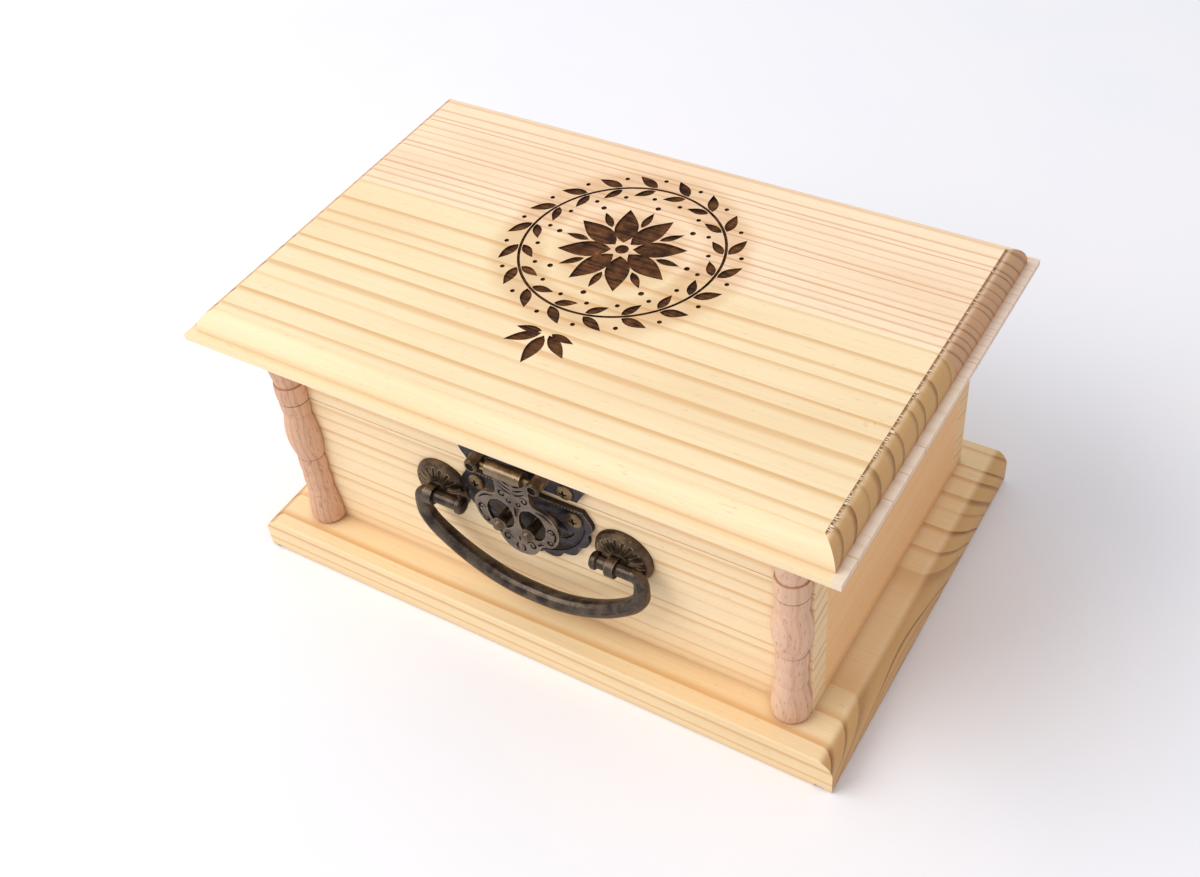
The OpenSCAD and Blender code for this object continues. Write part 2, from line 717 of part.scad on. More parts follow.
// The knobs pressed on the ends of the bail
module bail_knobs() {
    color(old_brass) for (side = [-1, 1])
        translate([bail_x, handle_y, bail_z]) mirror([side > 0 ? 0 : 1, 0, 0])
            translate([knob_in, 0, 0]) rotate([0, 90, 0]) rotate_extrude() polygon([
                [0, 0], [knob_r * 0.55, 0], [knob_r * 0.85, 0.35], [knob_r, 1], [knob_r, knob_w - 0.4],
                [knob_r - 0.4, knob_w], [bail_end_r + fixed_fit, knob_w], [bail_end_r + fixed_fit, 0.8],
                [0, 0.8]]);
}

// A hinge leaf on its axis, with its plate towards +Z and the box's board behind it at y = -hinge_off
module hinge_leaf(knuckles) {
    difference() {
        union() {
            translate([-hinge_w / 2, -hinge_off, leaf_relief])
                cube([hinge_w, hinge_leaf_t, hinge_leaf_h - leaf_relief]);
            for (k = knuckles) {
                translate([(k - 0.5) * knuckle_len + k * knuckle_gap, -hinge_off, 0])
                    cube([knuckle_len, hinge_leaf_t, leaf_relief + eps]);
                translate([(k - 0.5) * knuckle_len + k * knuckle_gap, 0, 0])
                    rotate([0, 90, 0]) cylinder(r = knuckle_r, h = knuckle_len);
            }
        }
        for (side = [-1, 1])
            translate([side * hinge_screw_x, -hinge_off, hinge_screw_z])
                rotate([-90, 0, 0]) {
                    translate([0, 0, -1]) cylinder(r = hinge_screw_r + fixed_fit, h = hinge_leaf_t + 2);
                    cylinder(r1 = hinge_screw_r + fixed_fit, r2 = hinge_screw_head_r + fixed_fit,
                        h = hinge_leaf_t + eps);
                }
        translate([-hinge_w, 0, 0])
            rotate([0, 90, 0]) cylinder(r = hinge_pin_r + running_fit, h = 2 * hinge_w);
    }
}

module hinge_box_leaf(side) {
    color(bronze) translate([side * hinge_x, hinge_y, hinge_z]) mirror([0, 0, 1]) hinge_leaf([-1, 1]);
}

module hinge_lid_leaf(side) {
    color(bronze) translate([side * hinge_x, hinge_y, hinge_z]) hinge_leaf([0]);
}

module left_hinge_box_leaf() {
    hinge_box_leaf(-1);
}

module right_hinge_box_leaf() {
    hinge_box_leaf(1);
}

module left_hinge_lid_leaf() {
    hinge_lid_leaf(-1);
}

module right_hinge_lid_leaf() {
    hinge_lid_leaf(1);
}

module hinge_pin(side) {
    color(old_brass) translate([side * hinge_x - hinge_w / 2, hinge_y, hinge_z])
        rotate([0, 90, 0]) cylinder(r = hinge_pin_r, h = hinge_w);
}

module left_hinge_pin() {
    hinge_pin(-1);
}

module right_hinge_pin() {
    hinge_pin(1);
}

module hinge_screws(up) {
    color(old_brass)
        for (hinge = [-1, 1], side = [-1, 1])
            translate([hinge * hinge_x + side * hinge_screw_x, box_y1 + hinge_leaf_t,
                hinge_z + up * hinge_screw_z])
                rotate([-90, 0, 0])
                    cross_screw(hinge_screw_head_r, 0.3, hinge_leaf_t, hinge_screw_r, hinge_screw_len, 0.6);
}

module hinge_box_screws() {
    hinge_screws(-1);
}

module hinge_lid_screws() {
    hinge_screws(1);
}

base_board();
front_panel();
back_panel();
left_panel();
right_panel();
left_column();
right_column();
catch_plate();
catch_screws();
left_rosette();
right_rosette();
left_handle_post();
right_handle_post();
handle_screws();
left_hinge_box_leaf();
right_hinge_box_leaf();
left_hinge_pin();
right_hinge_pin();
hinge_box_screws();
lid_board();
lid_front_rim();
lid_back_rim();
lid_left_rim();
lid_right_rim();
left_column_cap();
right_column_cap();
hasp_plate();
hasp_pin();
hasp_screws();
left_hinge_lid_leaf();
right_hinge_lid_leaf();
hinge_lid_screws();
hasp_leaf();
bail();
bail_knobs();
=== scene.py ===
"""The looks of the keepsake box: pine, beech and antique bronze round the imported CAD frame."""

import math
import random

import bmesh
import bpy
from mathutils import Matrix, Vector


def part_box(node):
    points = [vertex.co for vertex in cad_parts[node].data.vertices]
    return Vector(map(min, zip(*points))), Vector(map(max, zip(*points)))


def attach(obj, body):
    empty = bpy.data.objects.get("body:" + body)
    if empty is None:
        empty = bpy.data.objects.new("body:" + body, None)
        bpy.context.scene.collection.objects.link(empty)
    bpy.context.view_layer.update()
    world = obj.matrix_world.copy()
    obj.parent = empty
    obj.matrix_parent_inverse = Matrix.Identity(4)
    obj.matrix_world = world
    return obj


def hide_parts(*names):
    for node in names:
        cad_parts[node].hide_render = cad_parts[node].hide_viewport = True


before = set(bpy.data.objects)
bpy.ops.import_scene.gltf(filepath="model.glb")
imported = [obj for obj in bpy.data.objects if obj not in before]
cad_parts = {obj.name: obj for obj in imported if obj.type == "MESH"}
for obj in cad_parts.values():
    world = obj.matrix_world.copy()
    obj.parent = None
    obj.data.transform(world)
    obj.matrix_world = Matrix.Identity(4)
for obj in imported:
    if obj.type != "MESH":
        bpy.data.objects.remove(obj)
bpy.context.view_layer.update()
MM = 0.001

# Camera, fitted to the straight edges of the box in the photograph
PHOTO_W, PHOTO_H = 1200, 877
FOCAL_PX = 1477.3
PRINCIPAL_PX = (599.7, 444.7)
CAMERA_MM = (193.8, -282.4, 374.3)
CAMERA_TURN = (2.306, 0.598, -0.364)
SENSOR_MM = 36.0

# Studio, in metres and watts
SKY = 0.72
LAMP_W = 15.5
LAMP_SIZE = (1.3, 1.1)
LAMP_PLACE = (-0.80, -0.66, 1.15)
LAMP_AIM = (0, 0, 0.05)
FLOOR_HALF = 3.0

# Lid board, in millimetres. The CAD's moulding is an edge with a round above it. QUIRK is the thin step
# that the worn round leaves below the flat top, and ARRIS_IN how far in from the board's end that top stops
LID_EDGE_H = 2.1
LID_ROUND = 5.2
QUIRK = 0.8
ARRIS_IN = 8.1
HAIR = 0.01

# Splinters along the end grain: their number and radius, and where the first and the last may lie
SPLINTERS = 90
SPLINTER_R = 0.13
SPLINTERS_FROM_FRONT = 9
SPLINTERS_FROM_BACK = 13

# Burning: how deep it is cut, how far its cutter stands above the wood, and the height it has yellowed from
CARVE_DEPTH = 0.6
CUTTER_ABOVE = 1.0
SCORCHED_FROM_Z = 101

# Burnt wreath: a stem with pairs of leaves and berries. A leaf is (side of the stem, length, width).
# LEAF_ROOT and BERRY_OFF are distances from the stem's middle, and BERRY_BACK a share of the leaves' spacing
WREATH_CENTRE = (-2.3, 10.1)
WREATH_R = 31.0
STEM_W = 0.9
LEAF_PAIRS = 18
LEAF_PAIR = ((1, 8.6, 3.5), (-1, 7.2, 2.9))
LEAF_ROOT = 0.75
LEAF_LEAN = math.radians(34)
BERRY_R = 0.75
BERRY_OFF = 4.9
BERRY_BACK = 0.62

# Flower and sprig. A petal is (radius where it starts, length, width), a sprig leaf (turn, length, width)
PETALS = 8
PETAL = (3.2, 16.5, 7.4)
THIN_PETAL = (11.5, 8.0, 2.6)
SEED_AT, SEED_R = 22.0, 0.9
FLOWER_HEART_R = 2.1
SPRIG_BELOW = 10.5
SPRIG_ROOT = 1.6
SPRIG = ((-90, 12.5, 4.6), (-38, 11.0, 3.8), (-142, 11.0, 3.8), (-8, 8.0, 2.8), (-172, 8.0, 2.8))

# Latch, in millimetres: the CAD's sheets, and the half widths of the grooves cut into them. A groove's
# middle lies GROOVE_PROUD in front of the sheet, and what stands out by RELIEF is dressed by itself
PLATE_T = 1.6
LEAF_T = 1.2
LEAF_GROOVE = 0.36
PLATE_GROOVE = 0.32
GROOVE_PROUD = 0.02
RELIEF = 0.2

# A latch plate's border groove: how far it keeps in from the sides, from the straight edge, and in height
BORDER_SIDE = 2.6
BORDER_EDGE = 4.4
BORDER_HEIGHT_LESS = 7.4

# Milling on the catch plate: raised ticks, each MILLING_IN below the straight edge
MILLING_EACH_SIDE = 17
MILLING_PITCH = 1.1
MILLING_HALF = 0.3
MILLING_IN = 0.4
MILLING_R = 0.24


def linear(red, green, blue):
    """A colour as a picture shows it, 0 to 255, as the shader's linear numbers."""
    def one(v):
        v /= 255
        return v / 12.92 if v <= 0.04045 else ((v + 0.055) / 1.055) ** 2.4
    return (one(red), one(green), one(blue), 1.0)


# Node trees


class Nodes:
    """Short calls that add nodes to one tree. Each returns the new node's first output."""

    def __init__(self, tree):
        self.tree = tree

    def add(self, kind, **settings):
        node = self.tree.nodes.new(kind)
        for name, value in settings.items():
            setattr(node, name, value)
        return node

    def put(self, socket, value):
        if isinstance(value, bpy.types.NodeSocket):
            self.tree.links.new(value, socket)
        else:
            socket.default_value = value

    def math(self, operation, *values):
        node = self.add("ShaderNodeMath", operation=operation)
        for socket, value in zip(node.inputs, values):
            self.put(socket, value)
        return node.outputs[0]

    def plus(self, a, b):
        return self.math("ADD", a, b)

    def minus(self, a, b):
        return self.math("SUBTRACT", a, b)

    def times(self, a, b):
        return self.math("MULTIPLY", a, b)

    def distance(self, a, b):
        """How far a point lies from the middle, from its two offsets."""
        return self.math("SQRT", self.plus(self.times(a, a), self.times(b, b)))

    def vector(self, operation, *values):
        node = self.add("ShaderNodeVectorMath", operation=operation)
        for socket, value in zip(node.inputs, values):
            self.put(socket, value)
        return node.outputs["Value" if operation in ("DOT_PRODUCT", "LENGTH") else "Vector"]

    def split(self, value):
        node = self.add("ShaderNodeSeparateXYZ")
        self.put(node.inputs[0], value)
        return node.outputs

    def join(self, x, y, z):
        node = self.add("ShaderNodeCombineXYZ")
        for socket, value in zip(node.inputs, (x, y, z)):
            self.put(socket, value)
        return node.outputs[0]

    def stretched(self, x, y, z, along, across):
        """A place with one scale along the grain and another across it, for a noise."""
        return self.join(self.times(x, along), self.times(y, across), self.times(z, across))

    def noise(self, where, scale=1.0, detail=2.0, rough=0.5, dimensions="3D"):
        node = self.add("ShaderNodeTexNoise", noise_dimensions=dimensions)
        self.put(node.inputs["W" if dimensions == "1D" else "Vector"], where)
        self.put(node.inputs["Scale"], scale)
        node.inputs["Detail"].default_value = detail
        node.inputs["Roughness"].default_value = rough
        return node.outputs[0]

    def ramp(self, value, low, high, to_low=0.0, to_high=1.0):
        node = self.add("ShaderNodeMapRange", interpolation_type="SMOOTHSTEP")
        for socket, v in zip(node.inputs, (value, low, high, to_low, to_high)):
            self.put(socket, v)
        return node.outputs[0]

    def mix(self, factor, a, b):
        node = self.add("ShaderNodeMix", data_type="RGBA")
        self.put(node.inputs[0], factor)
        self.put(node.inputs[6], a)
        self.put(node.inputs[7], b)
        return node.outputs[2]

    def group(self, tree, **values):
        node = self.add("ShaderNodeGroup", node_tree=tree)
        for name, value in values.items():
            self.put(node.inputs[name.replace("_", " ")], value)
        return node.outputs

    def bump(self, height, strength, distance):
        node = self.add("ShaderNodeBump")
        node.inputs["Strength"].default_value = strength
        node.inputs["Distance"].default_value = distance
        self.put(node.inputs["Height"], height)
        return node.outputs[0]


def make_group(name, inputs, outputs):
    """A shader node group with named sockets, and its nodes, inputs and outputs."""
    tree = bpy.data.node_groups.new(name, "ShaderNodeTree")
    for socket, kind, value in inputs:
        made = tree.interface.new_socket(socket, in_out="INPUT", socket_type=kind)
        if value is not None:
            made.default_value = value
    for socket, kind in outputs:
        tree.interface.new_socket(socket, in_out="OUTPUT", socket_type=kind)
    nodes = Nodes(tree)
    return tree, nodes, nodes.add("NodeGroupInput").outputs, nodes.add("NodeGroupOutput").inputs


def growth_rings():
    """The dark late wood in the rings of a tree whose heart runs along X, each ring as strong as it grew."""
    tree, nodes, given, out = make_group(
        "growth rings",
        [("Vector", "NodeSocketVector", None), ("Heart Y", "NodeSocketFloat", 0.0),
         ("Heart Z", "NodeSocketFloat", -0.1), ("Ring Width", "NodeSocketFloat", 0.006),
         ("Waviness", "NodeSocketFloat", 0.002)],
        [("Late", "NodeSocketFloat")])
    x, y, z = nodes.split(given["Vector"])
    slow = nodes.noise(nodes.stretched(x, y, z, 5.0, 16.0), detail=1.0)
    fine = nodes.noise(nodes.stretched(x, y, z, 22.0, 140.0), detail=2.0)
    sway = nodes.times(nodes.minus(slow, 0.5), nodes.times(given["Waviness"], 4.0))
    shiver = nodes.times(nodes.minus(fine, 0.5), nodes.times(given["Waviness"], 0.5))
    across = nodes.plus(nodes.minus(y, given["Heart Y"]), nodes.plus(sway, shiver))
    up = nodes.minus(z, given["Heart Z"])
    radius = nodes.distance(across, up)
    count = nodes.math("DIVIDE", radius, given["Ring Width"])
    uneven = nodes.times(nodes.minus(nodes.noise(count, 0.45, 1.0, dimensions="1D"), 0.5), 1.6)
    ring = nodes.plus(count, uneven)
    part = nodes.math("FRACT", ring)
    rise = nodes.ramp(part, 0.6, 0.93)
    fall = nodes.ramp(part, 0.95, 1.0, 1.0, 0.0)
    tone = nodes.noise(nodes.math("FLOOR", ring), 0.83, 2.0, dimensions="1D")
    strength = nodes.ramp(tone, 0.3, 0.7, 0.35, 1.0)
    nodes.put(out["Late"], nodes.times(nodes.times(rise, fall), strength))
    return tree


def wood_fibre():
    """Fine streaks along X, short resin dashes and broad clouds of tone."""
    tree, nodes, given, out = make_group(
        "wood fibre",
        [("Vector", "NodeSocketVector", None), ("Fineness", "NodeSocketFloat", 1.0)],
        [("Streak", "NodeSocketFloat"), ("Dash", "NodeSocketFloat"), ("Cloud", "NodeSocketFloat")])
    size = nodes.join(given["Fineness"], given["Fineness"], given["Fineness"])
    x, y, z = nodes.split(nodes.vector("MULTIPLY", given["Vector"], size))
    streak = nodes.noise(nodes.stretched(x, y, z, 35.0, 1100.0), detail=3.0, rough=0.6)
    dash = nodes.noise(nodes.stretched(x, y, z, 260.0, 2600.0), detail=1.0)
    cloud = nodes.noise(nodes.stretched(x, y, z, 9.0, 30.0), detail=2.0)
    nodes.put(out["Streak"], streak)
    nodes.put(out["Dash"], nodes.ramp(dash, 0.70, 0.78))
    nodes.put(out["Cloud"], cloud)
    return tree


def edge_wear():
    """1 on sharp outer edges, broken up by patches, 0 elsewhere."""
    tree, nodes, given, out = make_group(
        "edge wear",
        [("Vector", "NodeSocketVector", None), ("Radius", "NodeSocketFloat", 0.0004),
         ("Patch Scale", "NodeSocketFloat", 400.0)],
        [("Wear", "NodeSocketFloat")])
    bevel = nodes.add("ShaderNodeBevel", samples=6)
    nodes.put(bevel.inputs["Radius"], given["Radius"])
    true_normal = nodes.add("ShaderNodeNewGeometry").outputs["Normal"]
    turn = nodes.minus(1.0, nodes.vector("DOT_PRODUCT", bevel.outputs[0], true_normal))
    edge = nodes.ramp(turn, 0.01, 0.16)
    patches = nodes.ramp(nodes.noise(given["Vector"], given["Patch Scale"]), 0.35, 0.62, 0.25, 1.0)
    nodes.put(out["Wear"], nodes.times(edge, patches))
    return tree


def crevice():
    """1 deep in corners and grooves, 0 in the open."""
    tree, nodes, given, out = make_group(
        "crevice", [("Reach", "NodeSocketFloat", 0.0015)], [("Depth", "NodeSocketFloat")])
    hidden = nodes.add("ShaderNodeAmbientOcclusion", samples=8)
    nodes.put(hidden.inputs["Distance"], given["Reach"])
    nodes.put(out["Depth"], nodes.ramp(hidden.outputs["AO"], 0.35, 0.95, 1.0, 0.0))
    return tree


GROUPS = {}


def shared_groups():
    """Builds each shared effect once, under its own name."""
    for made in (growth_rings(), wood_fibre(), edge_wear(), crevice()):
        GROUPS[made.name] = made


def start_material(name):
    """A new material with its Principled shader on its output."""
    material = bpy.data.materials.new(name)
    material.use_nodes = True
    material.node_tree.nodes.clear()
    nodes = Nodes(material.node_tree)
    shader = nodes.add("ShaderNodeBsdfPrincipled")
    output = nodes.add("ShaderNodeOutputMaterial")
    nodes.put(output.inputs["Surface"], shader.outputs[0])
    return material, nodes, shader


def place_in_wood(nodes, along, shift):
    """Object coordinates and normal with the grain turned along X, moved so that each board differs."""
    texture = nodes.add("ShaderNodeTexCoord")
    order = {"x": (0, 1, 2), "y": (1, 0, 2), "z": (2, 1, 0)}[along]
    place = nodes.split(texture.outputs["Object"])
    facing = nodes.split(texture.outputs["Normal"])
    where = nodes.join(*(place[i] for i in order))
    return nodes.vector("ADD", where, shift), where, facing[order[0]]


# Woods

PINE_EARLY = linear(250, 226, 184)
PINE_LATE = linear(222, 176, 118)
PINE_CUT = (linear(206, 160, 104), linear(126, 74, 36))
PINK = (linear(255, 229, 194), linear(222, 168, 124))
PINK_CUT = (linear(202, 156, 116), linear(120, 74, 46))
RESIN = linear(170, 110, 62)
# Painted shade: the colour that pine is darkened to in its corners and creases
PINE_PAINTED_SHADE = linear(176, 116, 66)
PINE_WORN = linear(255, 240, 214)
CHALK = linear(236, 216, 200)
CHALK_TICK = linear(206, 170, 142)
SCORCH = linear(196, 132, 62)
BURNT_DARK = linear(44, 24, 13)
BURNT_PALE = linear(122, 78, 42)
BURNT_RING = linear(92, 44, 22)
BURNT_THIN = linear(160, 112, 66)
BEECH_EARLY = linear(222, 178, 146)
BEECH_LATE = linear(200, 150, 120)
BEECH_STREAK = linear(194, 146, 118)
BEECH_PALE = linear(238, 204, 176)
BEECH_FLECK = linear(150, 100, 76)
BEECH_CRACK = linear(110, 66, 46)
# Dirt and painted shade: the colour that beech darkens to deep in its grooves
BEECH_DIRT_AND_SHADE = linear(142, 92, 66)


def pine_colour(nodes, rings, fibre, end, early, late, cut):
    """Pine's colour from its rings and streaks. end is 1 where the fibres are cut across.

    early and late are the pale and the dark part of a ring, and cut holds the same two in end grain.
    """
    colour = nodes.mix(end, nodes.mix(rings["Late"], early, late), nodes.mix(rings["Late"], *cut))
    colour = nodes.mix(nodes.ramp(fibre["Streak"], 0.35, 0.75, 0.0, 0.16), colour, late)
    colour = nodes.mix(nodes.ramp(fibre["Cloud"], 0.4, 0.75, 0.0, 0.22), colour, late)
    dash = nodes.times(fibre["Dash"], nodes.minus(0.3, nodes.times(end, 0.3)))
    return nodes.mix(dash, colour, RESIN)


def pine(name, heart, ring_mm, along="x", early=PINE_EARLY, late=PINE_LATE, wave_mm=1.0, shift=(0, 0, 0),
         second=None, burn=False, dents=(), cut=1.0, pale_from=None):
    """Planed pine. heart is the tree's middle across the board, in mm, and second a strip glued beside it.

    cut is how dark its end grain shows, pale_from the x, in mm, from where its worn ledge is whitish, and
    dents the x, y and radius of small knocks, in mm.
    """
    material, nodes, shader = start_material(name)
    moved, where, facing = place_in_wood(nodes, along, shift)
    end = nodes.ramp(nodes.math("ABSOLUTE", facing), 0.1, 0.55, 0.0, cut)

    def tree_rings(centre, width_mm):
        return nodes.group(GROUPS["growth rings"], Vector=moved, Heart_Y=centre[0] * MM + shift[1],
                           Heart_Z=centre[1] * MM + shift[2], Ring_Width=width_mm * MM,
                           Waviness=wave_mm * MM)

    fibre = nodes.group(GROUPS["wood fibre"], Vector=moved)
    rings = tree_rings(heart, ring_mm)
    colour = pine_colour(nodes, rings, fibre, end, early, late, PINE_CUT)
    late_mask = rings["Late"]
    if second:
        other = tree_rings(second["heart"], second["ring_mm"])
        side = nodes.math("GREATER_THAN", nodes.split(where)[1], second["from_mm"] * MM)
        colour = nodes.mix(side, colour, pine_colour(nodes, other, fibre, end, *PINK, PINK_CUT))
        late_mask = nodes.plus(nodes.times(late_mask, nodes.minus(1.0, side)),
                               nodes.times(other["Late"], side))
    if burn:
        colour = nodes.mix(scorch_mask(nodes), colour, SCORCH)
    if pale_from:
        ledge = nodes.math("GREATER_THAN", nodes.split(where)[0], pale_from * MM)
        ticks = nodes.noise(nodes.split(where)[1], 900.0, 1.0, dimensions="1D")
        chalk = nodes.mix(nodes.ramp(ticks, 0.68, 0.76), CHALK, CHALK_TICK)
        colour = nodes.mix(nodes.times(ledge, 0.7), colour, chalk)
    # Painted shade: pine darkens towards its corners and creases, as far as the crevice group finds them
    # occluded
    hollow = nodes.group(GROUPS["crevice"], Reach=0.004)["Depth"]
    colour = nodes.mix(nodes.times(hollow, 0.35), colour, PINE_PAINTED_SHADE)
    worn = nodes.group(GROUPS["edge wear"], Vector=moved, Radius=0.0006, Patch_Scale=300.0)["Wear"]
    colour = nodes.mix(nodes.times(worn, 0.2), colour, PINE_WORN)
    nodes.put(shader.inputs["Base Color"], colour)
    nodes.put(shader.inputs["Roughness"], nodes.ramp(late_mask, 0.0, 1.0, 0.62, 0.48))
    shader.inputs["Specular IOR Level"].default_value = 0.35
    height = nodes.plus(nodes.times(fibre["Streak"], 0.4), nodes.times(late_mask, 0.35))
    height = nodes.minus(height, nodes.times(fibre["Dash"], 0.3))
    for x_mm, y_mm, r_mm in dents:
        offset = nodes.vector("SUBTRACT", where, (x_mm * MM, y_mm * MM, 0))
        flat = nodes.vector("MULTIPLY", offset, (1, 1, 0))
        pit = nodes.ramp(nodes.vector("LENGTH", flat), 0.0, r_mm * MM, 3.0, 0.0)
        height = nodes.minus(height, pit)
    nodes.put(shader.inputs["Normal"], nodes.bump(height, 0.35, 0.00025))
    return material


def scorch_mask(nodes):
    """How far the burning has yellowed the lid's top round the wreath and the flower inside it."""
    place = nodes.split(nodes.add("ShaderNodeTexCoord").outputs["Object"])
    dx = nodes.minus(place[0], WREATH_CENTRE[0] * MM)
    dy = nodes.minus(place[1], WREATH_CENTRE[1] * MM)
    radius = nodes.distance(dx, dy)
    smoke = nodes.noise(nodes.join(nodes.times(dx, 60), nodes.times(dy, 110), 0.0), detail=3.0)
    wander = nodes.times(nodes.minus(smoke, 0.5), 0.009)
    off_ring = nodes.math("ABSOLUTE", nodes.minus(nodes.plus(radius, wander), WREATH_R * MM))
    ring = nodes.ramp(off_ring, 0.0045, 0.0115, 1.0, 0.0)
    flower = nodes.ramp(nodes.plus(radius, wander), 0.015, 0.024, 1.0, 0.0)
    mask = nodes.times(nodes.math("MAXIMUM", ring, flower), nodes.ramp(smoke, 0.2, 0.8, 0.18, 0.5))
    return nodes.times(mask, nodes.math("GREATER_THAN", place[2], SCORCHED_FROM_Z * MM))


def burnt_wood():
    """The floor of the burnt carving: dark, streaked along the grain, rough."""
    material, nodes, shader = start_material("burnt_pine")
    moved = place_in_wood(nodes, "x", (0.3, 0.1, 0))[0]
    fibre = nodes.group(GROUPS["wood fibre"], Vector=moved)
    rings = nodes.group(GROUPS["growth rings"], Vector=moved, Heart_Y=-0.057, Heart_Z=0.17,
                        Ring_Width=0.003, Waviness=0.001)
    char = nodes.noise(moved, 260.0, 4.0, 0.65)
    tone = nodes.plus(nodes.times(fibre["Streak"], 0.5), nodes.times(char, 0.5))
    colour = nodes.mix(nodes.ramp(tone, 0.38, 0.66), BURNT_DARK, BURNT_PALE)
    colour = nodes.mix(nodes.times(rings["Late"], 0.6), colour, BURNT_RING)
    colour = nodes.mix(nodes.ramp(char, 0.62, 0.75, 0.0, 0.5), colour, BURNT_THIN)
    nodes.put(shader.inputs["Base Color"], colour)
    shader.inputs["Roughness"].default_value = 0.85
    shader.inputs["Specular IOR Level"].default_value = 0.2
    nodes.put(shader.inputs["Normal"], nodes.bump(nodes.plus(char, fibre["Streak"]), 0.7, 0.0004))
    return material


def beech():
    """Turned beech: pinkish brown with flecks, hairline cracks, and dirt and painted shade in its grooves."""
    material, nodes, shader = start_material("turned_beech")
    moved = place_in_wood(nodes, "z", (0.11, 0.07, 0.03))[0]
    x, y, z = nodes.split(moved)
    rings = nodes.group(GROUPS["growth rings"], Vector=moved, Heart_Y=0.02, Heart_Z=0.12,
                        Ring_Width=0.0021, Waviness=0.0014)
    fibre = nodes.group(GROUPS["wood fibre"], Vector=moved, Fineness=0.8)
    flecks = nodes.noise(nodes.stretched(x, y, z, 320.0, 1900.0), detail=0.0)
    fleck = nodes.ramp(flecks, 0.66, 0.76)
    cracks = nodes.noise(nodes.stretched(x, y, z, 60.0, 520.0), detail=2.0)
    crack = nodes.ramp(nodes.math("ABSOLUTE", nodes.minus(cracks, 0.5)), 0.0, 0.012, 1.0, 0.0)
    crack = nodes.times(crack, nodes.ramp(nodes.noise(moved, 90.0, 1.0), 0.52, 0.66))
    colour = nodes.mix(rings["Late"], BEECH_EARLY, BEECH_LATE)
    colour = nodes.mix(nodes.ramp(fibre["Streak"], 0.4, 0.75, 0.0, 0.4), colour, BEECH_STREAK)
    colour = nodes.mix(nodes.ramp(fibre["Cloud"], 0.45, 0.7, 0.0, 0.55), colour, BEECH_PALE)
    colour = nodes.mix(nodes.times(fleck, 0.35), colour, BEECH_FLECK)
    colour = nodes.mix(nodes.times(crack, 0.4), colour, BEECH_CRACK)
    # Dirt and painted shade: beech darkens deep in its grooves, as far as the crevice group finds them
    # occluded
    hollow = nodes.group(GROUPS["crevice"], Reach=0.0012)["Depth"]
    colour = nodes.mix(nodes.times(hollow, 0.5), colour, BEECH_DIRT_AND_SHADE)
    nodes.put(shader.inputs["Base Color"], colour)
    shader.inputs["Roughness"].default_value = 0.6
    shader.inputs["Specular IOR Level"].default_value = 0.35
    height = nodes.minus(fibre["Streak"], nodes.plus(nodes.times(fleck, 0.5), crack))
    nodes.put(shader.inputs["Normal"], nodes.bump(height, 0.4, 0.0003))
    return material


# Metals

GRIME = linear(24, 20, 18)


def aged_metal(name, dark, mid, bright, wear_mm, wear_amount, rough, grime=0.8):
    """Antique plating: dark in its hollows, patchy from dark to mid on its faces, bright on its edges.

    wear_mm is how wide the rubbed edges are and wear_amount how bare, rough the roughness of its faces, and
    grime how much dirt its hollows hold.
    """
    material, nodes, shader = start_material(name)
    where = nodes.add("ShaderNodeTexCoord").outputs["Object"]
    patches = nodes.noise(where, 190.0, 4.0, 0.6)
    pits = nodes.noise(where, 1500.0, 3.0, 0.7)
    worn = nodes.group(GROUPS["edge wear"], Vector=where, Radius=wear_mm * MM, Patch_Scale=520.0)["Wear"]
    hollow = nodes.group(GROUPS["crevice"], Reach=0.0016)["Depth"]
    colour = nodes.mix(nodes.ramp(patches, 0.36, 0.66), dark, mid)
    colour = nodes.mix(nodes.ramp(pits, 0.60, 0.74, 0.0, 0.35), colour, bright)
    colour = nodes.mix(nodes.times(worn, wear_amount), colour, bright)
    colour = nodes.mix(nodes.times(hollow, grime), colour, GRIME)
    nodes.put(shader.inputs["Base Color"], colour)
    nodes.put(shader.inputs["Metallic"], nodes.ramp(hollow, 0.3, 1.0, 0.95, 0.5))
    shine = nodes.ramp(patches, 0.3, 0.7, rough - 0.08, rough + 0.12)
    shine = nodes.minus(shine, nodes.times(worn, 0.1))
    nodes.put(shader.inputs["Roughness"], nodes.plus(shine, nodes.times(hollow, 0.25)))
    nodes.put(shader.inputs["Normal"], nodes.bump(nodes.plus(pits, patches), 0.25, 0.00018))
    return material


# Geometry helpers


def linked(name, data):
    """A new object in the scene."""
    made = bpy.data.objects.new(name, data)
    bpy.context.scene.collection.objects.link(made)
    return made


def add_materials(mesh, materials):
    """Gives a new mesh its materials, in order."""
    for material in materials:
        mesh.materials.append(material)


def mesh_from(bm, name):
    """The mesh that bm describes, with its faces turned outwards."""
    bmesh.ops.recalc_face_normals(bm, faces=bm.faces)
    mesh = bpy.data.meshes.new(name)
    bm.to_mesh(mesh)
    bm.free()
    return mesh


def welded_copy(node, name):
    """A closed copy of a CAD node's mesh."""
    bm = bmesh.new()
    bm.from_mesh(node.data)
    bmesh.ops.remove_doubles(bm, verts=bm.verts, dist=0.001 * MM)
    return mesh_from(bm, name)


def cut_away(mesh, cutter_mesh, materials):
    """The piece that is left of mesh. Its cut faces take the second of the materials."""
    add_materials(cutter_mesh, materials)
    cutter_mesh.polygons.foreach_set("material_index", [1] * len(cutter_mesh.polygons))
    piece = linked(mesh.name, mesh)
    cutter = linked(cutter_mesh.name, cutter_mesh)
    cut = piece.modifiers.new("cut", "BOOLEAN")
    cut.operation, cut.object, cut.solver, cut.use_self = "DIFFERENCE", cutter, "EXACT", True
    left = bpy.data.meshes.new_from_object(piece.evaluated_get(bpy.context.evaluated_depsgraph_get()))
    piece.modifiers.clear()
    piece.data = left
    bpy.data.objects.remove(cutter)
    return piece


